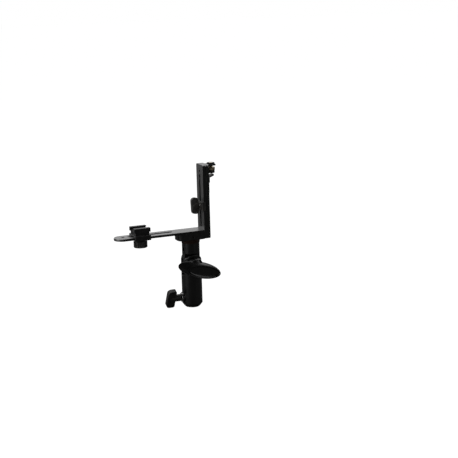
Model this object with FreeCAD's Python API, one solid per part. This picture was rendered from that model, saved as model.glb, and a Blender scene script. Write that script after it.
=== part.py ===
import FreeCAD, Part
import math
import os

# Umbrella swivel bracket, in millimetres.
# The origin is the centre of the stand socket's mouth. +Z runs up the socket, +X points
# to the ring clamp's side of the arm and -Y is the tilt lever's side.

# Stand socket and fork
SOCKET_BORE_R = 8.05        # takes a 16 mm (5/8 inch) stand stud
SOCKET_DEPTH = 38.0
LINER_R = 9.2
LINER_LIP_R = 10.0
LINER_LIP = 1.0
BODY_R = 15.0
BODY_FOOT_R = 11.3
BODY_FOOT_TOP = 5.5
TILT_Z = 65.0               # height of the tilt axis
EAR_R = 15.0
EAR_FLAT_Y = 13.5           # spot-faced flats on the outside of the ears
EAR_FLAT_R = 12.5
SLOT_HALF = 6.2
SLOT_FLOOR = 15.5           # slot floor and neck shoulder, measured from the tilt axis

# Tilt joint
TONGUE_HALF = 5.0
TONGUE_R = 12.0
BOLT_R = 4.0                # M8
RUN = 0.05                  # radial running clearance of a thread or shaft
AIR = 0.1                   # gap between flat faces that slide on each other
HEX_AF = 13.0
HEX_FLOOR_Y = 10.0
HEX_THICK = 5.0
DISC_R = 11.5
WASHER_R = 9.0
WASHER_THICK = 1.2

# Tilt lever: an oval paddle that dips towards +X. Each oval is the centre's X, its height
# above the tilt axis, its two half lengths, and its dip in degrees.
LEVER_OVAL = (4.2, -5.7, 33.6, 11.8, 16.4)
LEVER_FACE = (9.2, -9.0, 27.0, 10.0, 13.0)
LEVER_DISH = (9.8, -9.4, 25.0, 8.6, 12.0)
LEVER_DISH_SLOPE = 2.0      # how much smaller the dish's floor is, all round
LEVER_BACK_INSET = 2.2
LEVER_BACK_Y = -18.5
LEVER_WIDEST_Y = -21.0
LEVER_FRONT_Y = -27.0
LEVER_DISH_DEPTH = 2.4
LEVER_HUB_R = 11.0
LEVER_HUB_Y = -24.5
LEVER_NUT_R = 6.2
LEVER_NUT_END_Y = -22.0

# Swivel head: neck, umbrella hole and spigot
NECK_R = 12.9
NECK_TOP = 96.5
SPIGOT_R = 7.0
SPIGOT_TOP = 110.5
UMBRELLA_Z = 88.0
UMBRELLA_R = 4.25           # takes an 8 mm umbrella shaft
UMBRELLA_SCREW_R = 2.5      # M5
UMBRELLA_TIP_R = 1.8
UMBRELLA_KNOB_R = 4.6
COLLAR_LOW_R = 13.2
COLLAR_TOP_R = 14.3

# Horizontal bar and its block
BAR_HALF = 12.5
BAR_THICK = 3.5
BLOCK_X = (-22.0, 17.3)
BLOCK_Z = (101.6, 111.5)
BLOCK_CORNER_R = 8.0
BAR_TIP_X = -116.0
BAR_SLOT_X = (-96.0, -28.0)
BAR_SLOT_HALF = 3.25
BAR_HOLE_X = -103.0
BAR_HOLE_R = 2.5
BAR_SCREW_X = 10.8
SMALL_SCREW_R = 2.0         # M4
SMALL_HEAD_R = 3.5
SET_SCREW_Z = 106.5

# Upright arm: a fixed bar, and a carrier bar that slides up it
ARM_TOP = 210.5
ARM_THICK = 4.8
ARM_GAP = 0.2
ARM_SLOT_Z = (118.0, 196.0)
ARM_SLOT_HALF = 2.8
ARM_BOLT_Z = 150.0
ARM_BOLT_R = 2.5            # M5
ARM_CORNER_R = 3.0
ARM_SCREW_Y = 7.0
SADDLE_HALF_Z = 6.5
SADDLE_THICK = 2.6
SADDLE_WALL = 1.5

# Accessory shoe on the bar
SHOE_X = -77.0
SHOE_SADDLE_HALF_X = 12.2
SHOE_WALL = 1.85
SHOE_SKIRT_Z = 110.0
SHOE_BASE_Z = 117.5
SHOE_WAIST_TOP = 121.8
SHOE_HALF = 12.0
SHOE_FLOOR_Z = 123.8
SHOE_LIP_Z = 126.1
SHOE_TOP_Z = 127.6
SHOE_CHANNEL_HALF = 9.3
SHOE_MOUTH_HALF = 6.3
SHOE_BOLT_R = 3.0           # M6
SHOE_SCREW_DX = 8.2
SHOE_SCREW_R = 1.5          # M3
SHOE_KNOB_R = 10.0
SHOE_KNOB_Z = (98.0, 107.5)
SHOE_KNOB_FLUTES = 20

# Wing knobs
WING_THICK = 7.2
WING_CORNER_R = 4.4
STAND_WING = 31.0           # tip to tip
STAND_WING_DEPTH = 13.0     # along the screw
STAND_WING_TURN = 28.0      # degrees about the screw
ARM_WING = 24.0
ARM_WING_DEPTH = 10.2
ARM_WING_TURN = -6.0
CLAMP_Z = 15.0
CLAMP_BUSH_R = 5.5
CLAMP_FLANGE_R = 6.6
CLAMP_BOSS_X = -15.9
CLAMP_PAD_R = 3.6

# Ring clamp at the head of the arm
HOOK_HALF = 8.0
HOOK_THICK = 2.0
HOOK_LOW_Z = 166.0
HOOK_TOP_Z = 209.5
SHELF_X = 41.0
RING_SCREW_X = 35.2
RING_SCREW_R = 3.0          # M6
RING_WHEEL_R = 6.0
RING_WHEEL_Z = (200.9, 204.9)
RING_PAD_Z = (196.2, 200.8)
RING_PAD_R = 5.6
REST_Z = 192.0
REST_RISE = 20.0            # degrees
REST_HALF = 6.0
REST_THICK = 1.8
REST_LEG = 9.0
REST_TIP_X = 38.2
RIVET_Z = (171.5, 187.0)
RIVET_R = 1.6
HOOK_SCREW_Z = 200.5

# Worked out from the above
SHOULDER_Z = TILT_Z + SLOT_FLOOR
BAR_Z = (BLOCK_Z[1], BLOCK_Z[1] + BAR_THICK)
FRONT_X = (BLOCK_X[1], BLOCK_X[1] + ARM_THICK)
REAR_X = (FRONT_X[1] + ARM_GAP, FRONT_X[1] + ARM_GAP + ARM_THICK)
HOOK_X = (REAR_X[1], REAR_X[1] + HOOK_THICK)
BACK_Y = -EAR_FLAT_Y - WASHER_THICK - AIR
SHOE_POCKET_Z = BAR_Z[1] + 3.0      # floor of the pocket for the shoe bolt's square head


def vec(x, y, z):
    return FreeCAD.Vector(x, y, z)


X = vec(1, 0, 0)
Y = vec(0, 1, 0)
Z = vec(0, 0, 1)


def block(x_span, y_span, z_span):
    """A box between two values on each axis."""
    size = [span[1] - span[0] for span in (x_span, y_span, z_span)]
    return Part.makeBox(*size, vec(x_span[0], y_span[0], z_span[0]))


def rod(radius, start, axis, length):
    return Part.makeCylinder(radius, length, start, axis)


def ring(outer, inner, start, axis, length):
    return rod(outer, start, axis, length).cut(rod(inner, start, axis, length))


def turned(profile, start, axis):
    """A solid turned from (radius, height) points, stood at start along axis."""
    points = [vec(r, 0, h) for r, h in profile]
    face = Part.Face(Part.makePolygon(points + points[:1]))
    solid = face.revolve(vec(0, 0, 0), Z, 360)
    return placed(solid, start, axis)


def placed(shape, start, axis):
    shape = shape.copy()
    shape.Placement = FreeCAD.Placement(start, FreeCAD.Rotation(Z, axis))
    return Part.makeCompound([shape]).Solids[0]


def threaded(radius, pitch, start, axis, length):
    """A threaded rod, its thread drawn as separate rings."""
    root = radius - 0.55 * pitch
    turns = int((length - pitch) / pitch)
    profile = [(0, 0), (root, 0)]
    for i in range(turns):
        foot = 0.5 * pitch + i * pitch
        profile += [(root, foot), (radius, foot + 0.4 * pitch)]
        profile += [(radius, foot + 0.6 * pitch), (root, foot + pitch)]
    profile += [(root, length), (0, length)]
    return turned(profile, start, axis)


def hexagon(across_flats, start, axis, length):
    corner = across_flats / math.sqrt(3)
    angles = [math.radians(60 * i + 30) for i in range(6)]
    points = [vec(corner * math.cos(a), corner * math.sin(a), 0) for a in angles]
    prism = Part.Face(Part.makePolygon(points + points[:1])).extrude(vec(0, 0, length))
    return placed(prism, start, axis)


def countersink(radius, head_r, start, axis, length):
    """The hole that a countersunk screw fills, its wide end at start."""
    cone = head_r - radius + 0.2
    profile = [(0, 0), (head_r, 0), (head_r, 0.2), (radius, cone), (radius, length), (0, length)]
    return turned(profile, start, axis)


def countersunk(radius, head_r, start, axis, length):
    """A countersunk screw with a hex socket in its flat head, which is at start."""
    socket = hexagon(radius * 1.2, start, axis, head_r - radius + 0.6)
    return countersink(radius, head_r, start, axis, length).cut(socket)


def softened(shape, size, wanted):
    """Round the edges whose bounding box passes the wanted test."""
    solid = shape.Solids[0]
    edges = [edge for edge in solid.Edges if wanted(edge.BoundBox)]
    return solid.makeFillet(size, edges)


def along(axis, length=0.5):
    """An edge test: straight along one axis and nowhere else."""
    def test(box):
        sizes = {"x": box.XLength, "y": box.YLength, "z": box.ZLength}
        others = [size for name, size in sizes.items() if name != axis]
        return sizes[axis] > length and max(others) < 0.001
    return test


def slot_cutter(length, half_width, thick):
    """A slot with round ends, centred on the origin, along X and cut through Z."""
    straight = length / 2 - half_width
    ends = [rod(half_width, vec(x, 0, -thick / 2), Z, thick) for x in (-straight, straight)]
    middle = block((-straight, straight), (-half_width, half_width), (-thick / 2, thick / 2))
    return middle.fuse(ends).removeSplitter()


def moved(shape, x, y, z):
    shape = shape.copy()
    shape.translate(vec(x, y, z))
    return shape


def save(node, *solids):
    """Write one node's solids to its own file."""
    shape = solids[0] if len(solids) == 1 else Part.makeCompound(list(solids))
    shape.exportStep("parts/" + node + ".step")
    print(node, len(shape.Solids), "solid(s)", round(shape.Volume), "mm3", shape.isValid())


# ---- Stand socket ---------------------------------------------------------------------

def socket_body():
    """The cast socket: round below, a fork of two round ears above."""
    profile = [(0, LINER_LIP), (BODY_FOOT_R, LINER_LIP), (BODY_R, BODY_FOOT_TOP)]
    profile += [(BODY_R, TILT_Z + EAR_R), (0, TILT_Z + EAR_R)]
    body = turned(profile, vec(0, 0, 0), Z)
    wide = 2 * BODY_R
    lower = block((-wide, wide), (-wide, wide), (0, TILT_Z))
    ears = rod(EAR_R, vec(0, -wide, TILT_Z), Y, 2 * wide)
    body = body.common(lower.fuse(ears))
    slot = block((-wide, wide), (-SLOT_HALF, SLOT_HALF), (TILT_Z - SLOT_FLOOR, TILT_Z + wide))
    body = body.cut(slot)
    boss = rod(CLAMP_FLANGE_R + 1.2, vec(0, 0, CLAMP_Z), -X, -CLAMP_BOSS_X)
    body = body.fuse(boss).removeSplitter()
    for side in (-1, 1):
        flat = rod(EAR_FLAT_R, vec(0, side * EAR_FLAT_Y, TILT_Z), Y * side, BODY_R)
        body = body.cut(flat)
    body = body.cut(rod(LINER_R, vec(0, 0, 0), Z, SOCKET_DEPTH + LINER_LIP))
    body = body.cut(rod(CLAMP_BUSH_R, vec(0, 0, CLAMP_Z), -X, wide))
    body = body.cut(rod(BOLT_R + RUN, vec(0, -wide, TILT_Z), Y, 2 * wide))
    body = body.cut(hexagon(HEX_AF + 0.2, vec(0, HEX_FLOOR_Y, TILT_Z), Y, wide))
    return softened(body, 0.6, is_ear_rim)


def is_ear_rim(box):
    """The curved rims round the tops of both ears."""
    return box.ZMin > TILT_Z - 0.01 and box.ZMax > TILT_Z + EAR_R - 0.1


def socket_liner():
    tube = rod(LINER_R, vec(0, 0, 0), Z, SOCKET_DEPTH + LINER_LIP)
    tube = tube.fuse(rod(LINER_LIP_R, vec(0, 0, 0), Z, LINER_LIP)).removeSplitter()
    tube = tube.cut(rod(SOCKET_BORE_R, vec(0, 0, 0), Z, SOCKET_DEPTH))
    return tube.cut(rod(CLAMP_PAD_R + 0.35, vec(0, 0, CLAMP_Z), -X, BODY_R))


def stand_clamp_bush():
    """The steel bush that carries the clamp screw's thread, with a round flange."""
    flange = 1.9
    inner_x = -LINER_R - 0.2
    body = rod(CLAMP_BUSH_R, vec(inner_x, 0, CLAMP_Z), -X, inner_x - CLAMP_BOSS_X)
    face = rod(CLAMP_FLANGE_R, vec(CLAMP_BOSS_X, 0, CLAMP_Z), -X, flange)
    face = softened(face, 0.5, lambda box: box.XMax < CLAMP_BOSS_X - flange + 0.01)
    bush = body.fuse(face).removeSplitter()
    return bush.cut(rod(BOLT_R + RUN, vec(0, 0, CLAMP_Z), -X, 2 * BODY_R))


def pressure_pad(radius, nose_r, start, axis, length):
    """A pad that turns freely on a screw's nose. Its face is at start."""
    pad = rod(radius, start, axis, length)
    depth = length / 2
    return pad.cut(rod(nose_r + RUN, start + axis * (length - depth), axis, depth))


def pressure_screw(radius, pitch, nose_r, nose, start, axis, length):
    """A threaded rod with a plain nose that reaches back into its pad."""
    body = threaded(radius, pitch, start, axis, length)
    return body.fuse(rod(nose_r, start - axis * nose, axis, nose + 0.3)).removeSplitter()


def wing_knob(reach, depth, hub_r, stem, bore_r, bore_depth):
    """A wing knob along +Z from its hub face at the origin, the wing lying along X."""
    half = reach / 2
    wing = block((-half, half), (-WING_THICK / 2, WING_THICK / 2), (stem, stem + depth))
    wing = softened(wing, WING_CORNER_R, along("y"))
    wing = softened(wing, 1.6, lambda box: box.YLength < 0.01)
    profile = [(0, 0), (hub_r - 0.6, 0), (hub_r, 0.6), (hub_r - 0.4, stem + 3)]
    profile += [(3.9, stem + 8), (0, stem + 8)]
    hub = turned(profile, vec(0, 0, 0), Z)
    knob = wing.fuse(hub).removeSplitter()
    return knob.cut(rod(bore_r, vec(0, 0, -1), Z, bore_depth + 1))


def make_socket():
    save("socket_body", socket_body())
    save("socket_liner", socket_liner())
    save("stand_clamp_bush", stand_clamp_bush())


def make_stand_clamp():
    """Pad, screw and wing knob on one axis through the socket's wall."""
    face_x = -SOCKET_BORE_R - 0.1
    pad_thick = 2.2
    nose_r = 1.8
    hub_x = -19.2
    stem = 8.0
    screw_x = face_x - pad_thick
    pad = pressure_pad(CLAMP_PAD_R, nose_r, vec(face_x, 0, CLAMP_Z), -X, pad_thick)
    screw_end = hub_x - stem - 3
    screw = pressure_screw(BOLT_R, 1.25, nose_r, pad_thick / 2 - 0.1, vec(screw_x, 0, CLAMP_Z), -X,
                           screw_x - screw_end)
    knob = wing_knob(STAND_WING, STAND_WING_DEPTH, 5.4, stem, BOLT_R, hub_x - screw_end)
    knob = stood_out(knob, vec(hub_x, 0, CLAMP_Z), STAND_WING_TURN)
    save("stand_clamp_pad", pad)
    save("stand_clamp_screw", screw)
    save("stand_clamp_knob", knob)


def stood_out(knob, start, turn):
    """Point a knob along -X with its wing upright, then turn it about its own axis."""
    upright = knob.copy()
    upright.rotate(vec(0, 0, 0), Y, -90)
    upright.rotate(vec(0, 0, 0), X, turn)
    upright.translate(start)
    return upright


# ---- Tilt joint ------------------------------------------------------------------------

def make_tilt_joint():
    head = hexagon(HEX_AF, vec(0, HEX_FLOOR_Y, TILT_Z), Y, HEX_THICK)
    dome = Part.makeSphere(HEX_AF, vec(0, HEX_FLOOR_Y + HEX_THICK - HEX_AF + 0.6, TILT_Z))
    shank = rod(BOLT_R, vec(0, HEX_FLOOR_Y, TILT_Z), -Y, HEX_FLOOR_Y + EAR_FLAT_Y)
    thread = threaded(BOLT_R, 1.25, vec(0, -EAR_FLAT_Y, TILT_Z), -Y, 8.0)
    save("tilt_bolt", head.common(dome).fuse([shank, thread]).removeSplitter())

    thick = SLOT_HALF - TONGUE_HALF - AIR
    discs = [ring(DISC_R, BOLT_R + 0.3, vec(0, side * (SLOT_HALF - thick), TILT_Z), Y * side, thick)
             for side in (-1, 1)]
    save("tilt_friction_discs", *discs)
    save("lever_washer", ring(WASHER_R, BOLT_R + 0.2, vec(0, -EAR_FLAT_Y, TILT_Z), -Y, WASHER_THICK))


def lever_outline(oval, inset, y):
    """One of the lever's ovals, made smaller by inset, on a plane of constant y."""
    x, rise, half_long, half_short, dip = oval
    curve = Part.Ellipse(vec(0, 0, 0), half_long - inset, half_short - inset).toShape()
    curve.rotate(vec(0, 0, 0), X, 90)
    curve.rotate(vec(0, 0, 0), Y, dip)
    curve.translate(vec(x, y, TILT_Z + rise))
    return Part.Wire([curve])


def tilt_lever():
    """A paddle that narrows to a dished front face, on a round hub."""
    back = lever_outline(LEVER_OVAL, LEVER_BACK_INSET, LEVER_BACK_Y)
    widest = lever_outline(LEVER_OVAL, 0, LEVER_WIDEST_Y)
    face = lever_outline(LEVER_FACE, 0, LEVER_FRONT_Y)
    paddle = Part.makeLoft([back, widest], True).fuse(Part.makeLoft([widest, face], True))
    rim = lever_outline(LEVER_DISH, 0, LEVER_FRONT_Y)
    floor = lever_outline(LEVER_DISH, LEVER_DISH_SLOPE, LEVER_FRONT_Y + LEVER_DISH_DEPTH)
    paddle = paddle.cut(Part.makeLoft([rim, floor], True))
    hub = rod(LEVER_HUB_R, vec(0, BACK_Y, TILT_Z), -Y, BACK_Y - LEVER_HUB_Y)
    hub = softened(hub, 4.0, lambda box: box.YMax < BACK_Y - 0.1)
    lever = paddle.fuse(hub).removeSplitter()
    return lever.cut(rod(LEVER_NUT_R, vec(0, BACK_Y, TILT_Z), -Y, BACK_Y - LEVER_NUT_END_Y))


def make_lever():
    save("tilt_lever", tilt_lever())
    depth = BACK_Y - LEVER_NUT_END_Y
    save("lever_nut", ring(LEVER_NUT_R, BOLT_R + RUN, vec(0, BACK_Y, TILT_Z), -Y, depth))


# ---- Swivel head -------------------------------------------------------------------------

def swivel_head():
    """The cast head: a flat tongue below, the round neck, and a spigot for the block."""
    profile = [(0, SHOULDER_Z), (NECK_R - 0.8, SHOULDER_Z), (NECK_R, SHOULDER_Z + 0.8), (NECK_R, NECK_TOP)]
    profile += [(SPIGOT_R, NECK_TOP), (SPIGOT_R, SPIGOT_TOP), (0, SPIGOT_TOP)]
    neck = turned(profile, vec(0, 0, 0), Z)
    web = block((-TONGUE_R, TONGUE_R), (-TONGUE_HALF, TONGUE_HALF), (TILT_Z, SHOULDER_Z + 1))
    foot = rod(TONGUE_R, vec(0, -TONGUE_HALF, TILT_Z), Y, 2 * TONGUE_HALF)
    web = web.common(rod(NECK_R, vec(0, 0, TILT_Z), Z, 2 * SLOT_FLOOR))
    head = neck.fuse([web, foot]).removeSplitter()
    head = head.cut(rod(BOLT_R + RUN, vec(0, -NECK_R, TILT_Z), Y, 2 * NECK_R))
    head = head.cut(rod(UMBRELLA_R, vec(-2 * NECK_R, 0, UMBRELLA_Z), X, 4 * NECK_R))
    head = head.cut(rod(UMBRELLA_SCREW_R + RUN, vec(0, 0, UMBRELLA_Z), Y, 2 * NECK_R))
    return head.cut(rod(UMBRELLA_SCREW_R + 2.5, vec(0, NECK_R - 0.9, UMBRELLA_Z), Y, NECK_R))


def neck_collar():
    """A flared bronze ring between the neck and the block."""
    profile = [(SPIGOT_R, NECK_TOP), (COLLAR_LOW_R, NECK_TOP), (COLLAR_LOW_R + 0.3, NECK_TOP + 2.2),
               (COLLAR_TOP_R, BLOCK_Z[0] - 0.8), (COLLAR_TOP_R, BLOCK_Z[0]), (SPIGOT_R, BLOCK_Z[0])]
    return turned(profile, vec(0, 0, 0), Z)


def base_block():
    """The block that joins the head's spigot, the bar and the fixed arm."""
    shape = block(BLOCK_X, (-BAR_HALF, BAR_HALF), BLOCK_Z)
    shape = softened(shape, BLOCK_CORNER_R, lambda box: along("z")(box) and box.XMax < 0)
    shape = softened(shape, 0.5, lambda box: box.ZMax < BLOCK_Z[0] + 0.01 and box.XMin < BLOCK_X[1] - 0.01)
    shape = shape.cut(rod(SPIGOT_R, vec(0, 0, 0), Z, SPIGOT_TOP))
    shape = shape.cut(rod(SMALL_SCREW_R, vec(0, -2 * BAR_HALF, SET_SCREW_Z), Y, 2 * BAR_HALF))
    for x in (-BAR_SCREW_X, BAR_SCREW_X):
        shape = shape.cut(rod(SMALL_HEAD_R, vec(x, 0, 0), Z, BLOCK_Z[0] + 4))
        shape = shape.cut(rod(SMALL_SCREW_R, vec(x, 0, 0), Z, BLOCK_Z[1]))
    for y in (-ARM_SCREW_Y, ARM_SCREW_Y):
        shape = shape.cut(rod(SMALL_SCREW_R, vec(BLOCK_X[1], y, SET_SCREW_Z), -X, 7.0))
    return shape


def cap_screw(radius, head_r, start, axis, length):
    """A cap screw with its head's top at start, a hex socket in it, and its shank along axis."""
    head = 3.8
    screw = rod(head_r, start, axis, head).fuse(rod(radius, start, axis, length)).removeSplitter()
    return screw.cut(hexagon(head_r, start, axis, 2.2))


def make_head():
    save("swivel_head", swivel_head())
    save("neck_collar", neck_collar())
    save("base_block", base_block())
    outer = -BAR_HALF + 0.3
    grub = rod(SMALL_SCREW_R, vec(0, outer, SET_SCREW_Z), Y, -SPIGOT_R - outer)
    save("block_set_screw", grub.cut(hexagon(2.0, vec(0, outer, SET_SCREW_Z), Y, 2.0)))


def horizontal_bar():
    length = BLOCK_X[1] - BAR_TIP_X
    bar = block((BAR_TIP_X, BLOCK_X[1]), (-BAR_HALF, BAR_HALF), BAR_Z)
    full_round = rod(BAR_HALF, vec(BAR_TIP_X + BAR_HALF, 0, BAR_Z[0]), Z, BAR_THICK)
    square = block((BAR_TIP_X + BAR_HALF, BLOCK_X[1]), (-BAR_HALF, BAR_HALF), BAR_Z)
    bar = bar.common(full_round.fuse(square)).removeSplitter()
    bar = softened(bar, 0.4, lambda box: box.ZLength < 0.01 and box.XLength > 1)
    middle_z = (BAR_Z[0] + BAR_Z[1]) / 2
    slot = slot_cutter(BAR_SLOT_X[1] - BAR_SLOT_X[0], BAR_SLOT_HALF, length)
    bar = bar.cut(moved(slot, (BAR_SLOT_X[0] + BAR_SLOT_X[1]) / 2, 0, middle_z))
    bar = bar.cut(rod(BAR_HOLE_R, vec(BAR_HOLE_X, 0, 0), Z, length))
    for x in (-BAR_SCREW_X, BAR_SCREW_X):
        bar = bar.cut(rod(SMALL_SCREW_R, vec(x, 0, 0), Z, BAR_Z[1] - 0.8))
    return bar


def make_bar():
    save("horizontal_bar", horizontal_bar())
    top = BAR_Z[1] - 1.0
    head_z = BLOCK_Z[0] + 0.2
    save("bar_screws", *[cap_screw(SMALL_SCREW_R, SMALL_HEAD_R, vec(x, 0, head_z), Z, top - head_z)
                         for x in (-BAR_SCREW_X, BAR_SCREW_X)])


# ---- Upright arm -----------------------------------------------------------------------

def arm_plate(x_span):
    plate = block(x_span, (-BAR_HALF, BAR_HALF), (BLOCK_Z[0], ARM_TOP))
    plate = softened(plate, ARM_CORNER_R, along("x"))
    return softened(plate, 0.4, lambda box: box.XLength < 0.01)


def arm_fixed_bar():
    """The slotted bar, screwed to the block's end."""
    plate = arm_plate(FRONT_X)
    slot = slot_cutter(ARM_SLOT_Z[1] - ARM_SLOT_Z[0], ARM_SLOT_HALF, 4 * ARM_THICK)
    slot.rotate(vec(0, 0, 0), Y, 90)
    plate = plate.cut(moved(slot, FRONT_X[0], 0, (ARM_SLOT_Z[0] + ARM_SLOT_Z[1]) / 2))
    plate = plate.cut(rod(SMALL_SCREW_R, vec(0, 0, HOOK_SCREW_Z), X, 2 * BAR_HALF))
    for y in (-ARM_SCREW_Y, ARM_SCREW_Y):
        plate = plate.cut(countersink(SMALL_SCREW_R, SMALL_HEAD_R, vec(FRONT_X[1], y, SET_SCREW_Z), -X, 7.0))
    return plate


def arm_carrier_bar():
    """The bar that slides up the fixed bar and carries the ring clamp."""
    plate = arm_plate(REAR_X)
    square = ARM_BOLT_R
    plate = plate.cut(block((0, SHELF_X), (-square, square), (ARM_BOLT_Z - square, ARM_BOLT_Z + square)))
    for z in RIVET_Z:
        plate = plate.cut(rod(RIVET_R, vec(0, 0, z), X, SHELF_X))
    return plate.cut(rod(SMALL_SCREW_R - 0.5, vec(0, 0, HOOK_SCREW_Z), X, SHELF_X))


def make_arm():
    save("arm_fixed_bar", arm_fixed_bar())
    save("arm_screws", *[countersunk(SMALL_SCREW_R, SMALL_HEAD_R, vec(FRONT_X[1], y, SET_SCREW_Z), -X, 10.0)
                         for y in (-ARM_SCREW_Y, ARM_SCREW_Y)])
    save("arm_carrier_bar", arm_carrier_bar())


def make_arm_clamp():
    """Carriage bolt, saddle, washer and wing knob that hold the carrier at its height."""
    square = ARM_BOLT_R
    nut_depth = 6.0
    nut_r = 3.3
    saddle_x = (FRONT_X[0] - AIR - SADDLE_THICK, FRONT_X[0] - AIR)
    washer_x = saddle_x[0] - 0.9
    hub_x = washer_x - AIR / 2
    bolt_tip_x = hub_x - nut_depth + 0.4
    centre = vec(REAR_X[0], 0, ARM_BOLT_Z)
    neck = block(REAR_X, (-square, square), (ARM_BOLT_Z - square, ARM_BOLT_Z + square))
    cap = Part.makeSphere(7.0, vec(REAR_X[1] - 4.5, 0, ARM_BOLT_Z))
    cap = cap.common(rod(5.3, vec(REAR_X[1], 0, ARM_BOLT_Z), X, 5.0))
    plain = rod(ARM_BOLT_R - 0.05, centre, -X, REAR_X[0] - saddle_x[0])
    thread = threaded(ARM_BOLT_R, 0.8, vec(saddle_x[0], 0, ARM_BOLT_Z), -X, saddle_x[0] - bolt_tip_x)
    save("arm_bolt", neck.fuse([cap, plain, thread]).removeSplitter())

    inner = BAR_HALF + 0.15
    outer = inner + SADDLE_WALL
    z_span = (ARM_BOLT_Z - SADDLE_HALF_Z, ARM_BOLT_Z + SADDLE_HALF_Z)
    saddle = block((saddle_x[0], saddle_x[1] + 3.0), (-outer, outer), z_span)
    saddle = softened(saddle, 1.2, lambda box: box.XMax < saddle_x[0] + 0.01)
    saddle = saddle.cut(block((saddle_x[1], 2 * BAR_HALF), (-inner, inner), (0, ARM_TOP)))
    saddle = saddle.cut(rod(ARM_BOLT_R + 0.35, vec(0, 0, ARM_BOLT_Z), X, 2 * BAR_HALF))
    save("arm_saddle", saddle)
    save("arm_washer", ring(6.0, ARM_BOLT_R + 0.35, vec(washer_x, 0, ARM_BOLT_Z), X, 0.9))

    knob = wing_knob(ARM_WING, ARM_WING_DEPTH, 5.6, 0.4, nut_r, nut_depth)
    save("arm_knob", stood_out(knob, vec(hub_x, 0, ARM_BOLT_Z), ARM_WING_TURN))
    nut = ring(nut_r, ARM_BOLT_R + RUN, vec(hub_x, 0, ARM_BOLT_Z), -X, nut_depth)
    save("arm_knob_nut", nut)


# ---- Ring clamp --------------------------------------------------------------------------

def ring_hook():
    """A bent steel strip: flat against the carrier, its shelf standing out at the top."""
    back = block(HOOK_X, (-HOOK_HALF, HOOK_HALF), (HOOK_LOW_Z, HOOK_TOP_Z))
    back = softened(back, 4.0, lambda box: along("x")(box) and box.ZMax < HOOK_LOW_Z + 1)
    shelf = block((HOOK_X[0], SHELF_X), (-HOOK_HALF, HOOK_HALF), (HOOK_TOP_Z - HOOK_THICK, HOOK_TOP_Z))
    shelf = softened(shelf, 4.0, lambda box: along("z")(box) and box.XMin > SHELF_X - 1)
    hook = back.fuse(shelf).removeSplitter()
    hook = softened(hook, 1.4, is_hook_bend)
    hook = hook.cut(rod(RING_SCREW_R + 0.3, vec(RING_SCREW_X, 0, 0), Z, 2 * ARM_TOP))
    for z in RIVET_Z:
        hook = hook.cut(rod(RIVET_R, vec(0, 0, z), X, 2 * SHELF_X))
    return hook.cut(countersink(SMALL_SCREW_R - 0.5, 3.0, vec(HOOK_X[1], 0, HOOK_SCREW_Z), -X, 9.0))


def is_hook_bend(box):
    """The long edge outside the bend between the hook's back and its shelf."""
    return along("y", 5)(box) and box.XMax < HOOK_X[0] + 0.1 and box.ZMin > HOOK_TOP_Z - 1


def ring_rest():
    """The lip under the ring: a short leg on the hook, then a tongue that rises outwards."""
    rise = math.tan(math.radians(REST_RISE))
    root = HOOK_X[1]
    leg = root + REST_THICK
    tip = REST_TIP_X
    low = REST_Z - REST_LEG
    tip_z = REST_Z + rise * (tip - leg)
    outline = [(root, low), (leg, low), (leg, REST_Z - REST_THICK), (tip, tip_z - REST_THICK)]
    outline += [(tip, tip_z), (root, REST_Z - rise * REST_THICK)]
    points = [vec(x, -REST_HALF, z) for x, z in outline]
    lip = Part.Face(Part.makePolygon(points + points[:1])).extrude(vec(0, 2 * REST_HALF, 0))
    lip = softened(lip, 2.5, lambda box: box.XMin > tip - 0.01 and box.YLength < 0.01)
    return lip.cut(rod(RIVET_R, vec(0, 0, RIVET_Z[1]), X, 2 * SHELF_X))


def rivet(z, face_x):
    """A dome-headed rivet from the carrier's back face to face_x."""
    shank = rod(RIVET_R, vec(REAR_X[0], 0, z), X, face_x - REAR_X[0])
    dome = Part.makeSphere(3.4, vec(face_x - 1.9, 0, z)).common(rod(2.8, vec(face_x, 0, z), X, 3.0))
    return shank.fuse(dome).removeSplitter()


def make_ring_clamp():
    save("ring_hook", ring_hook())
    save("ring_rest", ring_rest())
    save("ring_rivets", rivet(RIVET_Z[0], HOOK_X[1]), rivet(RIVET_Z[1], HOOK_X[1] + REST_THICK))
    save("hook_screw", countersunk(SMALL_SCREW_R - 0.5, 3.0, vec(HOOK_X[1], 0, HOOK_SCREW_Z), -X,
                                   HOOK_X[1] - REAR_X[0] - 0.3))

    nut_top = HOOK_TOP_Z + 2.0
    nut = hexagon(10.0, vec(RING_SCREW_X, 0, HOOK_TOP_Z), Z, 2.0)
    save("ring_nut", nut.cut(rod(RING_SCREW_R + RUN, vec(RING_SCREW_X, 0, 0), Z, 2 * ARM_TOP)))

    nose_r = 1.6
    thick = RING_PAD_Z[1] - RING_PAD_Z[0]
    pad = pressure_pad(RING_PAD_R, nose_r, vec(RING_SCREW_X, 0, RING_PAD_Z[0]), Z, thick)
    save("ring_clamp_pad", softened(pad, 0.8, lambda box: box.ZMax < RING_PAD_Z[0] + 0.01))

    wheel = rod(RING_WHEEL_R, vec(RING_SCREW_X, 0, RING_WHEEL_Z[0]), Z, RING_WHEEL_Z[1] - RING_WHEEL_Z[0])
    wheel = fluted(wheel, vec(RING_SCREW_X, 0, RING_WHEEL_Z[0] - 1), RING_WHEEL_R, 24, 0.45)
    thread = threaded(RING_SCREW_R, 1.0, vec(RING_SCREW_X, 0, RING_WHEEL_Z[1]), Z, nut_top - RING_WHEEL_Z[1])
    nose = rod(nose_r, vec(RING_SCREW_X, 0, RING_WHEEL_Z[0] - thick / 2 + 0.2), Z, thick / 2)
    save("ring_clamp_screw", wheel.fuse([thread, nose]).removeSplitter())


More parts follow.
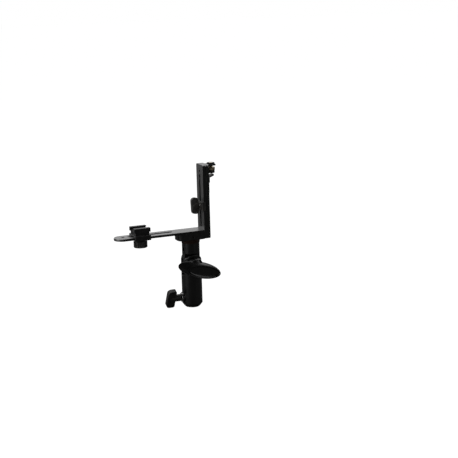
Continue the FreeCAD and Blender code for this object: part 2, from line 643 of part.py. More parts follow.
def fluted(shape, start, radius, count, flute_r):
    """Cut evenly spaced grooves along Z round a wheel."""
    flutes = []
    for i in range(count):
        angle = 2 * math.pi * i / count
        spot = start + vec(radius * math.cos(angle), radius * math.sin(angle), 0)
        flutes.append(rod(flute_r, spot, Z, 40.0))
    return shape.cut(Part.makeCompound(flutes))


# ---- Accessory shoe ----------------------------------------------------------------------

def shoe_saddle():
    """Straddles the bar, with a narrower waist under the shoe."""
    outer = BAR_HALF + 0.15 + SHOE_WALL
    x_span = (SHOE_X - SHOE_SADDLE_HALF_X, SHOE_X + SHOE_SADDLE_HALF_X)
    base = block(x_span, (-outer, outer), (SHOE_SKIRT_Z, SHOE_BASE_Z))
    base = softened(base, 2.0, along("z"))
    base = softened(base, 0.8, lambda box: box.ZMin > SHOE_BASE_Z - 0.01)
    waist_x = (SHOE_X - 10.5, SHOE_X + 10.5)
    waist_y = (-SHOE_HALF + 1.2, SHOE_HALF - 1.2)
    waist = block(waist_x, waist_y, (SHOE_BASE_Z, SHOE_WAIST_TOP))
    saddle = base.fuse(waist).removeSplitter()
    inner = BAR_HALF + 0.15
    saddle = saddle.cut(block((x_span[0] - 1, x_span[1] + 1), (-inner, inner), (0, BAR_Z[1] + AIR)))
    pocket = 5.0 + AIR
    saddle = saddle.cut(block((SHOE_X - pocket, SHOE_X + pocket), (-pocket, pocket),
                              (SHOE_POCKET_Z, SHOE_WAIST_TOP + 1)))
    saddle = saddle.cut(rod(SHOE_BOLT_R, vec(SHOE_X, 0, 0), Z, SHOE_TOP_Z))
    for side in (-1, 1):
        screw_x = SHOE_X + side * SHOE_SCREW_DX
        saddle = saddle.cut(rod(SHOE_SCREW_R, vec(screw_x, 0, SHOE_BASE_Z - 1), Z, 10.0))
    return saddle


def shoe_channel():
    """The shoe itself: a plate with two rails that fold over its channel."""
    x_span = (SHOE_X - SHOE_HALF, SHOE_X + SHOE_HALF)
    shape = block(x_span, (-SHOE_HALF, SHOE_HALF), (SHOE_WAIST_TOP, SHOE_TOP_Z))
    shape = softened(shape, 0.5, lambda box: box.ZMin > SHOE_TOP_Z - 0.01)
    past = (x_span[0] - 1, x_span[1] + 1)
    shape = shape.cut(block(past, (-SHOE_CHANNEL_HALF, SHOE_CHANNEL_HALF), (SHOE_FLOOR_Z, SHOE_LIP_Z)))
    shape = shape.cut(block(past, (-SHOE_MOUTH_HALF, SHOE_MOUTH_HALF), (SHOE_FLOOR_Z, SHOE_TOP_Z + 1)))
    for side in (-1, 1):
        start = vec(SHOE_X + side * SHOE_SCREW_DX, 0, SHOE_FLOOR_Z)
        shape = shape.cut(countersink(SHOE_SCREW_R, 2.8, start, -Z, 6.0))
    return shape


def shoe_spring(y):
    """One leaf of the shoe's spring, bowed up from the channel floor."""
    half = 9.5
    bow = 0.8
    thick = 0.35
    low = Part.Arc(vec(-half, 0, 0), vec(0, 0, bow), vec(half, 0, 0))
    high = Part.Arc(vec(half, 0, thick), vec(0, 0, bow + thick), vec(-half, 0, thick))
    ends = [Part.LineSegment(vec(half, 0, 0), vec(half, 0, thick)),
            Part.LineSegment(vec(-half, 0, thick), vec(-half, 0, 0))]
    outline = Part.Wire([curve.toShape() for curve in (low, ends[0], high, ends[1])])
    leaf = Part.Face(outline).extrude(vec(0, 2.2, 0))
    return moved(leaf, SHOE_X, y - 1.1, SHOE_FLOOR_Z)


def make_shoe():
    save("shoe_saddle", shoe_saddle())
    save("shoe_channel", shoe_channel())
    save("shoe_springs", shoe_spring(-7.8), shoe_spring(7.8))
    starts = [vec(SHOE_X + side * SHOE_SCREW_DX, 0, SHOE_FLOOR_Z) for side in (-1, 1)]
    save("shoe_screws", *[countersunk(SHOE_SCREW_R, 2.8, start, -Z, 6.0) for start in starts])

    head_z = (SHOE_POCKET_Z, SHOE_WAIST_TOP - AIR)
    head = block((SHOE_X - 5, SHOE_X + 5), (-5, 5), head_z)
    plain = rod(SHOE_BOLT_R, vec(SHOE_X, 0, SHOE_SKIRT_Z), Z, head_z[0] - SHOE_SKIRT_Z)
    tip_z = 100.5
    thread = threaded(SHOE_BOLT_R, 1.0, vec(SHOE_X, 0, tip_z), Z, SHOE_SKIRT_Z - tip_z)
    save("shoe_bolt", head.fuse([plain, thread]).removeSplitter())


def make_shoe_knob():
    """Washer, fluted knob and its threaded insert, under the bar."""
    washer_z = (BAR_Z[0] - AIR - 1.2, BAR_Z[0] - AIR)
    boss_top = washer_z[0] - AIR / 2
    save("shoe_washer", ring(7.5, SHOE_BOLT_R + 0.35, vec(SHOE_X, 0, washer_z[0]), Z, 1.2))

    low, high = SHOE_KNOB_Z
    body = rod(SHOE_KNOB_R, vec(SHOE_X, 0, low), Z, high - low)
    body = softened(body, 1.0, lambda box: box.ZLength < 0.01)
    body = fluted(body, vec(SHOE_X, 0, low - 1), SHOE_KNOB_R + 0.35, SHOE_KNOB_FLUTES, 0.9)
    boss = rod(6.5, vec(SHOE_X, 0, high), Z, boss_top - high)
    knob = body.fuse(boss).removeSplitter()
    insert_low = 101.5
    knob = knob.cut(rod(SHOE_BOLT_R + 0.4, vec(SHOE_X, 0, low + 1.8), Z, 20.0))
    knob = knob.cut(rod(4.4, vec(SHOE_X, 0, insert_low), Z, 20.0))
    save("shoe_knob", knob)
    save("shoe_knob_nut", ring(4.4, SHOE_BOLT_R + RUN, vec(SHOE_X, 0, insert_low), Z, boss_top - insert_low))


# ---- Umbrella clamp ------------------------------------------------------------------------

def make_umbrella_clamp():
    """A thumb screw on the far side of the neck that grips an umbrella's shaft."""
    face_y = UMBRELLA_R + 0.1
    tip = 2.0
    nose_r = 1.0
    head_y = (NECK_R + 1.6, NECK_R + 8.0)
    start = vec(0, face_y, UMBRELLA_Z)
    save("umbrella_screw_tip", pressure_pad(UMBRELLA_TIP_R, nose_r, start, Y, tip))
    screw = pressure_screw(UMBRELLA_SCREW_R, 0.8, nose_r, tip / 2 - 0.1, vec(0, face_y + tip, UMBRELLA_Z), Y,
                           head_y[1] - 1.5 - face_y - tip)
    save("umbrella_screw", screw)
    head = rod(UMBRELLA_KNOB_R, vec(0, 0, 0), Z, head_y[1] - head_y[0])
    head = softened(head, 0.7, lambda box: box.ZLength < 0.01)
    head = fluted(head, vec(0, 0, -1), UMBRELLA_KNOB_R + 0.15, 18, 0.5)
    head = head.cut(rod(UMBRELLA_SCREW_R, vec(0, 0, -2), Z, head_y[1] - head_y[0] + 0.5))
    save("umbrella_knob", placed(head, vec(0, head_y[0], UMBRELLA_Z), Y))


os.makedirs("parts", exist_ok=True)
make_socket()
make_stand_clamp()
make_tilt_joint()
make_lever()
make_head()
make_bar()
make_arm()
make_arm_clamp()
make_ring_clamp()
make_shoe()
make_shoe_knob()
make_umbrella_clamp()
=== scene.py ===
import bmesh
import bpy
import math
from mathutils import Matrix, Vector


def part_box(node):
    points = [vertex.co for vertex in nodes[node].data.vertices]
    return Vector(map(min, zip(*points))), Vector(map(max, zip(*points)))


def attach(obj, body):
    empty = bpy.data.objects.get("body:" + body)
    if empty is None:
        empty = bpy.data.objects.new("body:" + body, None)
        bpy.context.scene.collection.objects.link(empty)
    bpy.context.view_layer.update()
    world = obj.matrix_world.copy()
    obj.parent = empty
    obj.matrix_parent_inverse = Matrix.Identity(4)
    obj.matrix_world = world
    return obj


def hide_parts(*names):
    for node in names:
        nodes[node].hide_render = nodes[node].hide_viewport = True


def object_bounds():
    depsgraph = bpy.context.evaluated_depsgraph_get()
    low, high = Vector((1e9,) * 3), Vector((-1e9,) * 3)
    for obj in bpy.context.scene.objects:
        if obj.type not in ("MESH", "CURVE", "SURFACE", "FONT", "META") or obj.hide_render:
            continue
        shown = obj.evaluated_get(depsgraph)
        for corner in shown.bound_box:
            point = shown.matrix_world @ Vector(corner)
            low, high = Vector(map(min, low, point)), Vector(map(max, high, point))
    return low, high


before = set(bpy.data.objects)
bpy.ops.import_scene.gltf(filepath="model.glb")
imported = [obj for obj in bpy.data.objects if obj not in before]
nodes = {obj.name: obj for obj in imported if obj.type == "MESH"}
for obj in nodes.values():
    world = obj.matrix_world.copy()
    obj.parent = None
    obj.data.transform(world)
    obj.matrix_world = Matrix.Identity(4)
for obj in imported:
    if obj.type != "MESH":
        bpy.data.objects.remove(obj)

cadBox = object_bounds()
mm = 0.001
fineStep = math.radians(30)      # edges sharper than this stay crisp when shaded smooth
lengthwise = 0.9                 # a direction with more than this of an axis runs along it
crosswise = 0.1                  # and one with less than this runs across it


# Camera: low on the shoe's side of the bracket, with a slight lean

cameraView = {
    "bearing": -23.2,            # degrees round from the front, towards the shoe
    "height": 12.4,
    "lean": -1.43,
    "distance": 1.6,
    "lens": 84.8,
    "aim": (0.0617, 0.0, 0.1093),
}


def setCamera():
    bearing = math.radians(cameraView["bearing"])
    height = math.radians(cameraView["height"])
    lean = math.radians(cameraView["lean"])
    outward = Vector((math.sin(bearing) * math.cos(height), -math.cos(bearing) * math.cos(height),
                      math.sin(height)))
    right = Vector((0, 0, 1)).cross(outward).normalized()
    upward = outward.cross(right)
    leanRight = right * math.cos(lean) + upward * math.sin(lean)
    leanUp = upward * math.cos(lean) - right * math.sin(lean)
    turn = Matrix((leanRight, leanUp, outward)).transposed().to_4x4()
    place = Vector(cameraView["aim"]) + outward * cameraView["distance"]
    bpy.ops.object.camera_add()
    camera = bpy.context.object
    camera.name = "studioCamera"
    camera.matrix_world = Matrix.Translation(place) @ turn
    camera.data.lens = cameraView["lens"]
    camera.data.sensor_width = 36.0
    camera.data.clip_start = 0.01
    bpy.context.scene.camera = camera
    print("camera set")


# Studio: a pale floor, and four softboxes round the bracket

studio = {
    "floorSize": 30.0,
    "floorGap": 0.0005,
    "floorColour": (0.12, 0.12, 0.12, 1),
    "floorGlow": 1.0,            # keeps the paper pale however far the light reaches
    "skyGlow": 0.02,             # what the object sees of the sky
    "boxes": {                   # place, width, height, power
        "overhead": ((0.1, 0.45, 1.5), 2.8, 1.2, 20.0),
        "backdrop": ((0.1, 2.2, 0.7), 4.4, 1.6, 18.0),
        "shoeSide": ((-1.8, -0.35, 0.6), 1.0, 1.2, 15.0),
        "armSide": ((1.1, -1.5, 0.6), 0.5, 1.0, 2.5),
    },
}


def addSoftbox(name, place, width, height, power):
    bpy.ops.object.light_add(type="AREA", location=place)
    lamp = bpy.context.object
    lamp.name = name
    towards = Vector((0, 0, 0.1)) - Vector(place)
    lamp.rotation_euler = towards.to_track_quat("-Z", "Y").to_euler()
    lamp.data.shape = "RECTANGLE"
    lamp.data.size = width
    lamp.data.size_y = height
    lamp.data.energy = power
    lamp.visible_camera = False


def setStudio():
    bpy.ops.mesh.primitive_plane_add(size=studio["floorSize"],
                                     location=(0, 0, cadBox[0][2] - studio["floorGap"]))
    floor = bpy.context.object
    floor.name = "floor"
    paper = bpy.data.materials.new("pale_paper")
    paper.use_nodes = True
    surface = paper.node_tree.nodes["Principled BSDF"]
    surface.inputs["Base Color"].default_value = studio["floorColour"]
    surface.inputs["Roughness"].default_value = 0.9
    surface.inputs["Specular IOR Level"].default_value = 0.0
    surface.inputs["Emission Color"].default_value = (1, 1, 1, 1)
    seen = paper.node_tree.nodes.new("ShaderNodeLightPath")
    glow = paper.node_tree.nodes.new("ShaderNodeMapRange")
    glow.inputs["To Min"].default_value = 0.0
    glow.inputs["To Max"].default_value = studio["floorGlow"]
    paper.node_tree.links.new(seen.outputs["Is Camera Ray"], glow.inputs["Value"])
    paper.node_tree.links.new(glow.outputs["Result"], surface.inputs["Emission Strength"])
    floor.data.materials.append(paper)

    world = bpy.data.worlds.new("studio_sky")
    bpy.context.scene.world = world
    world.use_nodes = True
    tree = world.node_tree
    sky = tree.nodes["Background"]
    sky.inputs["Color"].default_value = (1, 1, 1, 1)
    rays = tree.nodes.new("ShaderNodeLightPath")
    glow = tree.nodes.new("ShaderNodeMapRange")
    glow.inputs["To Min"].default_value = studio["skyGlow"]
    glow.inputs["To Max"].default_value = 1.0
    tree.links.new(rays.outputs["Is Camera Ray"], glow.inputs["Value"])
    tree.links.new(glow.outputs["Result"], sky.inputs["Strength"])
    for name, facts in studio["boxes"].items():
        addSoftbox(name, *facts)
    bpy.context.scene.view_settings.view_transform = "Standard"
    print("studio set")


# Shader maths: a Wire is a socket that adds and multiplies like a number

class Wire:
    def __init__(self, bench, socket):
        self.bench = bench
        self.socket = socket

    def maths(self, operation, first, second):
        return self.bench.add("ShaderNodeMath", {"operation": operation}, {0: first, 1: second})

    def __add__(self, other):
        return self.maths("ADD", self, other)

    def __rsub__(self, other):
        return self.maths("SUBTRACT", other, self)

    def __mul__(self, other):
        return self.maths("MULTIPLY", self, other)

    __radd__ = __add__
    __rmul__ = __mul__


class Bench:
    def __init__(self, name):
        self.material = bpy.data.materials.new(name)
        self.material.use_nodes = True
        self.tree = self.material.node_tree
        self.tree.nodes.clear()
        self.shader = self.tree.nodes.new("ShaderNodeBsdfPrincipled")
        ending = self.tree.nodes.new("ShaderNodeOutputMaterial")
        self.tree.links.new(self.shader.outputs[0], ending.inputs[0])
        self.place = self.add("ShaderNodeTexCoord", output="Object")

    def feed(self, socket, value):
        if isinstance(value, Wire):
            self.tree.links.new(value.socket, socket)
        else:
            socket.default_value = value

    def add(self, kind, settings=None, inputs=None, output=0):
        node = self.tree.nodes.new(kind)
        for key, value in (settings or {}).items():
            if key == "stops":
                for stop, (position, colour) in zip(node.color_ramp.elements, value):
                    stop.position = position
                    stop.color = colour
            else:
                setattr(node, key, value)
        for key, value in (inputs or {}).items():
            self.feed(node.inputs[key], value)
        return Wire(self, node.outputs[output])

    def surface(self, **inputs):
        for key, value in inputs.items():
            self.feed(self.shader.inputs[key.replace("_", " ")], value)

    # patterns

    def grain(self, scale, detail=3.0, stretch=(1, 1, 1), rough=0.55):
        spot = self.add("ShaderNodeMapping", inputs={"Vector": self.place, "Scale": stretch},
                        output="Vector")
        return self.add("ShaderNodeTexNoise", inputs={"Vector": spot, "Scale": scale, "Detail": detail,
                                                      "Roughness": rough}, output=0)

    def fade(self, value, low, high, out=(0.0, 1.0)):
        return self.add("ShaderNodeMapRange", {"interpolation_type": "SMOOTHSTEP"},
                        {"Value": value, "From Min": low, "From Max": high,
                         "To Min": out[0], "To Max": out[1]})

    def blend(self, mask, first, second):
        return self.add("ShaderNodeMix", {"data_type": "RGBA"}, {0: mask, 6: first, 7: second}, output=2)

    def axis(self, name):
        return self.add("ShaderNodeSeparateXYZ", inputs={0: self.place}, output=name)

    def softEdge(self, radius):
        return self.add("ShaderNodeBevel", {"samples": 4}, {"Radius": radius}, output="Normal")

    def edgeWear(self, radius, noise):
        wide = self.softEdge(radius)
        flat = self.add("ShaderNodeNewGeometry", output="Normal")
        facing = self.add("ShaderNodeVectorMath", {"operation": "DOT_PRODUCT"}, {0: wide, 1: flat},
                          output="Value")
        return self.fade((1 - facing) * (noise + 0.35), 0.04, 0.20)

    def relief(self, height, depth, base=None):
        inputs = {"Height": height, "Distance": depth, "Strength": 1.0}
        if base:
            inputs["Normal"] = base
        return self.add("ShaderNodeBump", inputs=inputs, output="Normal")


def grey(value, warmth=0.0):
    return (value * (1 + warmth), value, value * (1 - warmth), 1)


# Finishes, one dictionary each

wideBand = (0.3, 0.7)            # the stretch of a noise that turns one value into the other
narrowBand = (0.35, 0.65)

powderCoat = {"dark": grey(0.0012, 0.10), "light": grey(0.0028, 0.16), "worn": grey(0.05, 0.05),
              "gloss": (0.26, 0.38), "grainSize": 0.6 * mm, "grainDepth": 0.008 * mm,
              "mottleSize": 48 * mm, "wearWidth": 0.5 * mm, "wearSize": 2.5 * mm, "wearShare": 0.5,
              "edgeRound": 0.35 * mm, "coat": 0.25, "coatGloss": 0.18}
# The edge colour and its metal value, over the band of |Y| named rim, paint the strips' long sides near
# black and less metallic: painted shade on the sides
satinStrip = {"dark": grey(0.22), "light": grey(0.30), "edge": grey(0.012), "worn": grey(0.45),
              "gloss": (0.30, 0.42), "metal": 1.0, "lineWidth": 0.10 * mm, "lineLength": 22 * mm,
              "lineDepth": 0.004 * mm, "cloudSize": 30 * mm, "wearWidth": 0.4 * mm, "wearSize": 3 * mm,
              "wearShare": 0.6, "edgeRound": 0.25 * mm, "rim": (12.25 * mm, 12.4 * mm), "paintedShadeMetal": 0.3}
anodised = {"dark": grey(0.010), "light": grey(0.020), "worn": grey(0.10), "gloss": (0.34, 0.46),
            "metal": 0.35, "grainSize": 0.2 * mm, "grainDepth": 0.004 * mm}
mouldedBlack = {"dark": grey(0.016, 0.08), "light": grey(0.030, 0.12), "gloss": (0.36, 0.50),
                "grainSize": 0.5 * mm, "grainDepth": 0.008 * mm}
glossMoulding = {"dark": grey(0.005), "light": grey(0.009, 0.05), "gloss": (0.22, 0.28),
                 "grainSize": 1.2 * mm, "grainDepth": 0.0008 * mm}
blackOxide = {"dark": grey(0.022), "light": grey(0.045, 0.05), "worn": grey(0.25), "gloss": (0.28, 0.45),
              "metal": 0.85, "grainSize": 0.25 * mm, "grainDepth": 0.004 * mm}
zincPlate = {"dark": grey(0.46), "light": grey(0.62, 0.02), "worn": grey(0.78), "gloss": (0.16, 0.34),
             "metal": 1.0, "grainSize": 0.3 * mm, "grainDepth": 0.003 * mm}
turnedBrass = {"dark": (0.62, 0.50, 0.32, 1), "light": (0.86, 0.76, 0.56, 1),
               "worn": (0.95, 0.88, 0.70, 1), "gloss": (0.18, 0.34), "metal": 1.0,
               "grainSize": 0.25 * mm, "grainDepth": 0.004 * mm}
darkBronze = {"dark": (0.030, 0.016, 0.012, 1), "light": (0.060, 0.034, 0.026, 1),
              "worn": (0.24, 0.14, 0.09, 1), "gloss": (0.30, 0.46), "metal": 0.8,
              "grainSize": 0.3 * mm, "grainDepth": 0.004 * mm}
naturalNylon = {"dark": (0.60, 0.56, 0.46, 1), "light": (0.78, 0.74, 0.64, 1), "gloss": (0.34, 0.48),
                "grainSize": 0.6 * mm, "grainDepth": 0.01 * mm}


def coatedCasting(name, look):
    bench = Bench(name)
    mottle = bench.grain(1 / look["mottleSize"], 4.0)
    fine = bench.grain(1 / look["grainSize"], 4.0)
    wear = bench.edgeWear(look["wearWidth"], bench.grain(1 / look["wearSize"]))
    paint = bench.blend(bench.fade(mottle, *narrowBand), look["dark"], look["light"])
    bench.surface(Base_Color=bench.blend(wear * look["wearShare"], paint, look["worn"]),
                  Roughness=bench.fade(mottle * 0.5 + fine * 0.5, *wideBand, look["gloss"]),
                  Normal=bench.relief(fine, look["grainDepth"], bench.softEdge(look["edgeRound"])))
    bench.shader.inputs["Coat Weight"].default_value = look["coat"]
    bench.shader.inputs["Coat Roughness"].default_value = look["coatGloss"]
    return bench.material


def brushedStrip(name, look, along):
    bench = Bench(name)
    across = look["lineLength"] / look["lineWidth"]
    stretch = [1.0 if i == along else across for i in range(3)]
    lines = bench.grain(1 / look["lineLength"], 2.0, stretch, 0.7)
    cloud = bench.grain(1 / look["cloudSize"], 3.0)
    wear = bench.edgeWear(look["wearWidth"], bench.grain(1 / look["wearSize"]))
    face = bench.blend(bench.fade(lines * 0.7 + cloud * 0.3, *wideBand), look["dark"], look["light"])
    # past the rim band in Y the strip's long sides are painted near black and less metallic: painted shade
    side = bench.add("ShaderNodeMath", {"operation": "ABSOLUTE"}, {0: bench.axis("Y")})
    rim = bench.fade(side, *look["rim"])
    colour = bench.blend(rim, face, look["edge"])
    bench.surface(Base_Color=bench.blend(wear * look["wearShare"], colour, look["worn"]),
                  Metallic=rim * (look["paintedShadeMetal"] - look["metal"]) + look["metal"],
                  Roughness=bench.fade(lines * 0.6 + cloud * 0.4, *wideBand, look["gloss"]),
                  Normal=bench.relief(lines, look["lineDepth"], bench.softEdge(look["edgeRound"])))
    return bench.material


metalSurface = {"cloudSize": 5 * mm, "wearWidth": 0.35 * mm, "wearShare": 0.7, "edgeRound": 0.2 * mm}


def bareMetal(name, look):
    bench = Bench(name)
    fine = bench.grain(1 / look["grainSize"], 3.0, (1, 1, 3))
    cloud = bench.grain(1 / metalSurface["cloudSize"], 3.0)
    wear = bench.edgeWear(metalSurface["wearWidth"], cloud)
    colour = bench.blend(bench.fade(cloud * 0.6 + fine * 0.4, *wideBand), look["dark"], look["light"])
    softened = bench.softEdge(metalSurface["edgeRound"])
    bench.surface(Base_Color=bench.blend(wear * metalSurface["wearShare"], colour, look["worn"]),
                  Roughness=bench.fade(fine * 0.5 + cloud * 0.5, *wideBand, look["gloss"]),
                  Normal=bench.relief(fine, look["grainDepth"], softened))
    bench.shader.inputs["Metallic"].default_value = look["metal"]
    return bench.material


mouldedSurface = {"cloudSize": 9 * mm, "edgeRound": 0.3 * mm}


def moulding(name, look, sharpEdges=True):
    bench = Bench(name)
    base = bench.softEdge(mouldedSurface["edgeRound"]) if sharpEdges else None
    fine = bench.grain(1 / look["grainSize"], 3.0)
    cloud = bench.grain(1 / mouldedSurface["cloudSize"], 3.0)
    bench.surface(Base_Color=bench.blend(bench.fade(cloud, *narrowBand), look["dark"], look["light"]),
                  Roughness=bench.fade(fine * 0.5 + cloud * 0.5, *wideBand, look["gloss"]),
                  Normal=bench.relief(fine, look["grainDepth"], base))
    return bench.material


def makeFinishes():
    finishes = {
        "cast_black": coatedCasting("powder_coat", powderCoat),
        "satin_aluminium": brushedStrip("satin_strip_flat", satinStrip, 0),
        "black_aluminium": bareMetal("black_anodised", anodised),
        "black_plastic": moulding("moulded_black", mouldedBlack),
        "lever_plastic": moulding("gloss_moulding", glossMoulding),
        "black_steel": bareMetal("black_oxide", blackOxide),
        "plated_steel": bareMetal("zinc_plate", zincPlate),
        "brass": bareMetal("turned_brass", turnedBrass),
        "bronze": bareMetal("dark_bronze", darkBronze),
        "nylon": moulding("natural_nylon", naturalNylon),
        "lever_skin": moulding("lever_moulding", glossMoulding, False),
        "knob_skin": moulding("knob_moulding", mouldedBlack, False),
    }
    uprightStrip = brushedStrip("satin_strip_upright", satinStrip, 2)
    for name, node in nodes.items():
        for slot in node.material_slots:
            slot.material = finishes[slot.material.name.split(".")[0]]
    for name in ("arm_fixed_bar", "arm_carrier_bar"):
        for slot in nodes[name].material_slots:
            slot.material = uprightStrip
    print("finishes made for", len(nodes), "nodes")
    return finishes


# Making pieces: rings of a profile are added one by one and bridged into a closed skin

def startClean():
    bpy.ops.object.select_all(action="DESELECT")


def placeNow(piece):
    startClean()
    piece.select_set(True)
    bpy.context.view_layer.objects.active = piece
    bpy.ops.object.transform_apply(location=True, rotation=True, scale=True)


def joined(name, parts):
    startClean()
    for part in parts:
        part.select_set(True)
    bpy.context.view_layer.objects.active = parts[0]
    bpy.ops.object.join()
    parts[0].name = name
    parts[0].data.name = name
    return parts[0]


def pick(piece, wantedFaces=None, wantedEdges=None):
    bpy.ops.mesh.select_mode(type="FACE" if wantedFaces else "EDGE")
    bpy.ops.mesh.select_all(action="DESELECT")
    mesh = bmesh.from_edit_mesh(piece.data)
    for face in mesh.faces:
        if wantedFaces and wantedFaces(face.calc_center_median(), face.normal):
            face.select_set(True)
    for edge in mesh.edges:
        ends = [corner.co for corner in edge.verts]
        if wantedEdges and wantedEdges((ends[0] + ends[1]) / 2, (ends[1] - ends[0]).normalized()):
            edge.select_set(True)
    bmesh.update_edit_mesh(piece.data)


def apply(piece, kind, **settings):
    modifier = piece.modifiers.new(kind.lower(), kind)
    for key, value in settings.items():
        setattr(modifier, key, value)
    startClean()
    piece.select_set(True)
    bpy.context.view_layer.objects.active = piece
    bpy.ops.object.modifier_apply(modifier=modifier.name)


def softSkin(piece, grainSize, passes):
    apply(piece, "REMESH", mode="VOXEL", voxel_size=grainSize)
    apply(piece, "SMOOTH", factor=0.5, iterations=passes)
    bpy.ops.object.shade_smooth()


def oval(centre, halfLong, halfShort, turn=(0, 0, 0), sides=96):
    bpy.ops.mesh.primitive_circle_add(vertices=sides, radius=1, location=centre, rotation=turn)
    ring = bpy.context.object
    ring.scale = (halfLong, halfShort, 1)
    placeNow(ring)
    return ring


def skin(name, rings):
    piece = joined(name, rings)
    bpy.ops.object.mode_set(mode="EDIT")
    bpy.ops.mesh.select_mode(type="EDGE")
    bpy.ops.mesh.select_all(action="SELECT")
    bpy.ops.mesh.bridge_edge_loops()
    bpy.ops.mesh.select_all(action="DESELECT")
    bpy.ops.mesh.select_non_manifold()
    bpy.ops.mesh.edge_face_add()
    bpy.ops.mesh.select_all(action="SELECT")
    bpy.ops.mesh.normals_make_consistent(inside=False)
    bpy.ops.object.mode_set(mode="OBJECT")
    return piece


def turnedSkin(name, centre, direction, profile, sides=72):
    turn = Vector(direction).to_track_quat("Z", "Y").to_euler()
    rings = [oval(Vector(centre) + Vector(direction) * along, radius, radius, turn, sides)
             for radius, along in profile]
    return skin(name, rings)


def hangOn(piece, body, slotName, finish, *stoodFor):
    piece.data.materials.clear()
    piece.data.materials.append(finish)
    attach(piece, body)
    if stoodFor:
        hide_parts(*stoodFor)
    print("made", piece.name, len(piece.data.polygons), "faces")


# Tilt lever: an oval paddle with a bevelled upper edge and a dished face, on a domed hub

lever = {
    "body": (4.2, -5.7, 33.6, 11.8, 16.4),     # centre from the pivot, half lengths, dip, in mm
    "face": (9.2, -9.0, 27.0, 10.0, 13.0),
    "dish": (9.8, -9.4, 25.0, 8.6, 12.0),
    "rings": [                                 # oval, next oval, share of the next, inset, y in mm
        ("body", "face", 0.0, 3.4, -18.5), ("body", "face", 0.0, 1.8, -18.6),
        ("body", "face", 0.0, 0.6, -19.4), ("body", "face", 0.0, 0.0, -20.8),
        ("body", "face", 0.12, 0.0, -22.0), ("body", "face", 0.40, -0.1, -23.6),
        ("body", "face", 0.72, -0.1, -25.3), ("body", "face", 0.93, 0.1, -26.5),
        ("face", "dish", 0.15, 0.3, -26.95), ("face", "dish", 0.75, 0.2, -27.0),
        ("dish", "dish", 0.0, 0.4, -26.4), ("dish", "dish", 0.0, 1.3, -25.4),
        ("dish", "dish", 0.0, 3.0, -24.8), ("dish", "dish", 0.0, 6.0, -24.6),
    ],
    "hub": [(10.6, 0.0), (11.0, 0.5), (11.0, 4.6), (10.4, 6.6), (9.0, 8.2), (6.6, 9.3), (3.2, 9.7)],
    "skin": 0.32,
    "smoothing": 7,
}


def makeLever():
    washerLow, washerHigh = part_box("lever_washer")
    pivot = Vector(((washerLow[0] + washerHigh[0]) / 2, 0, (washerLow[2] + washerHigh[2]) / 2))
    rings = []
    for first, second, share, inset, y in lever["rings"]:
        facts = [a + (b - a) * share for a, b in zip(lever[first], lever[second])]
        x, rise, halfLong, halfShort, dip = facts
        centre = pivot + Vector((x * mm, y * mm, rise * mm))
        turn = (math.radians(90), math.radians(dip), 0)
        rings.append(oval(centre, (halfLong - inset) * mm, (halfShort - inset) * mm, turn))
    paddle = skin("lever_paddle", rings)
    hubStart = (pivot.x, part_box("tilt_lever")[1][1], pivot.z)
    profile = [(radius * mm, along * mm) for radius, along in lever["hub"]]
    hub = turnedSkin("lever_hub", hubStart, (0, -1, 0), profile)
    paddle = joined("lever_paddle", [paddle, hub])
    softSkin(paddle, lever["skin"] * mm, lever["smoothing"])
    hangOn(paddle, "lever", "lever_plastic", finishes["lever_skin"], "tilt_lever")


# Wing knobs: a flat wing with a raised rim on a tapered hub

standWing = {"reach": 31.0, "depth": 13.0, "thick": 7.2, "stem": 8.0, "turn": 28.0, "outerCorner": 5.2,
             "innerCorner": 2.6, "rim": 1.5, "recess": 0.55, "hub": 5.4, "neck": 3.9}
armWing = {"reach": 24.0, "depth": 10.2, "thick": 7.0, "stem": 0.4, "turn": -6.0, "outerCorner": 4.8,
           "innerCorner": 4.2, "rim": 1.3, "recess": 0.5, "hub": 5.6, "neck": 3.9}
wingKnob = {"recessSlope": 0.35, "edgeRound": 1.1, "skin": 0.3, "smoothing": 5}


def makeWing(name, node, body, facts):
    low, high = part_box(node)
    face = Vector((high[0], (low[1] + high[1]) / 2, (low[2] + high[2]) / 2))
    depth = facts["depth"] * mm
    half = facts["reach"] * mm / 2
    wingMiddle = face.x - facts["stem"] * mm - depth / 2
    startClean()
    bpy.ops.mesh.primitive_cube_add(size=1, location=(wingMiddle, face.y, face.z))
    wing = bpy.context.object
    wing.scale = (depth, facts["thick"] * mm, 2 * half)
    placeNow(wing)
    bpy.ops.object.mode_set(mode="EDIT")
    for side, corner in ((-1, facts["outerCorner"]), (1, facts["innerCorner"])):
        pick(wing, wantedEdges=lambda at, run: abs(run.y) > lengthwise and (at.x - wingMiddle) * side > 0)
        bpy.ops.mesh.bevel(offset=corner * mm, segments=7, affect="EDGES")
    pick(wing, wantedFaces=lambda at, way: abs(way.y) > lengthwise)
    bpy.ops.mesh.inset(thickness=facts["rim"] * mm, depth=0)
    bpy.ops.mesh.inset(thickness=wingKnob["recessSlope"] * mm, depth=-facts["recess"] * mm)
    bpy.ops.object.mode_set(mode="OBJECT")
    apply(wing, "BEVEL", width=wingKnob["edgeRound"] * mm, segments=4, limit_method="ANGLE",
          angle_limit=math.radians(50))
    hub = facts["hub"]
    neck = facts["neck"]
    stem = facts["stem"]
    profile = [(hub - 0.5, 0), (hub, 0.5), (hub - 0.3, stem + 2.5), (neck, stem + 7.5),
               (neck - 1.4, stem + 8.6)]
    stalk = turnedSkin(name + "_hub", face, (-1, 0, 0), [(radius * mm, out * mm) for radius, out in profile])
    knob = joined(name, [wing, stalk])
    softSkin(knob, wingKnob["skin"] * mm, wingKnob["smoothing"])
    bpy.ops.object.mode_set(mode="EDIT")
    bpy.ops.mesh.select_all(action="SELECT")
    bpy.ops.transform.rotate(value=-math.radians(facts["turn"]), orient_axis="X", center_override=face)
    bpy.ops.object.mode_set(mode="OBJECT")
    hangOn(knob, body, "black_plastic", finishes["knob_skin"], node)


# Shoe knob: a fluted grip, its rims rounded, with a boss above and a dished cap below

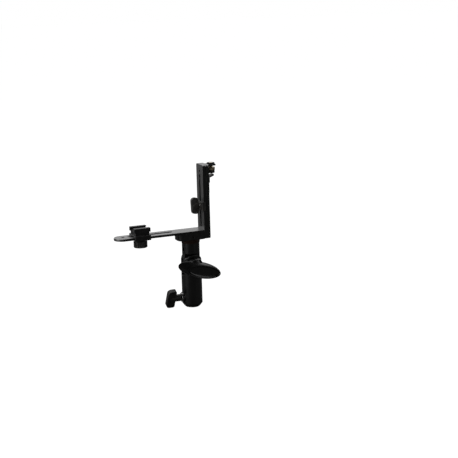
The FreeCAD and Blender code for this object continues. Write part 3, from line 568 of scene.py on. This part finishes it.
shoeGrip = {"flutes": 20, "fluteDepth": 0.75, "fluteEdge": 0.25, "rim": 0.9, "boss": 6.5, "capInset": 2.2,
            "capDepth": 0.7, "capEdge": 0.5, "bodyHeight": 9.5, "flatDown": 0.99, "edgeRound": 0.22,
            "sunk": 0.3, "bossCorner": 0.4}


def makeShoeGrip():
    low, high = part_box("shoe_knob")
    radius = (high[0] - low[0]) / 2
    centre = Vector(((low[0] + high[0]) / 2, (low[1] + high[1]) / 2, low[2]))
    height = shoeGrip["bodyHeight"] * mm
    startClean()
    bpy.ops.mesh.primitive_cylinder_add(vertices=shoeGrip["flutes"] * 4, radius=radius, depth=height,
                                        location=centre + Vector((0, 0, height / 2)))
    grip = bpy.context.object
    placeNow(grip)
    bpy.ops.object.mode_set(mode="EDIT")
    pick(grip, wantedEdges=lambda at, run: abs(run.z) < crosswise)
    bpy.ops.mesh.bevel(offset=shoeGrip["rim"] * mm, segments=3, affect="EDGES")

    def inFlute(at, way):
        step = math.atan2(at.y - centre.y, at.x - centre.x) / math.tau * shoeGrip["flutes"]
        return abs(way.z) < crosswise and (step % 1) < 0.5

    pick(grip, wantedFaces=inFlute)
    bpy.ops.mesh.inset(thickness=shoeGrip["fluteEdge"] * mm, depth=-shoeGrip["fluteDepth"] * mm)
    pick(grip, wantedFaces=lambda at, way: way.z < -shoeGrip["flatDown"])
    bpy.ops.mesh.inset(thickness=shoeGrip["capInset"] * mm, depth=0)
    bpy.ops.mesh.inset(thickness=shoeGrip["capEdge"] * mm, depth=-shoeGrip["capDepth"] * mm)
    bpy.ops.object.mode_set(mode="OBJECT")
    apply(grip, "BEVEL", width=shoeGrip["edgeRound"] * mm, segments=2, limit_method="ANGLE",
          angle_limit=math.radians(35))
    sunk = shoeGrip["sunk"] * mm
    corner = shoeGrip["bossCorner"] * mm
    bossRadius = shoeGrip["boss"] * mm
    bossTop = high[2] - low[2] - height + sunk
    boss = turnedSkin("shoe_grip_boss", (centre.x, centre.y, low[2] + height - sunk), (0, 0, 1),
                      [(bossRadius, 0), (bossRadius, bossTop - corner), (bossRadius - corner, bossTop)])
    grip = joined("shoe_grip", [grip, boss])
    bpy.ops.object.shade_smooth_by_angle(angle=fineStep)
    hangOn(grip, "shoe_lock_knob", "black_plastic", finishes["knob_skin"], "shoe_knob")


setCamera()
setStudio()
finishes = makeFinishes()
makeLever()
makeWing("stand_wing", "stand_clamp_knob", "stand_knob", standWing)
makeWing("arm_wing", "arm_knob", "arm_lock_knob", armWing)
makeShoeGrip()
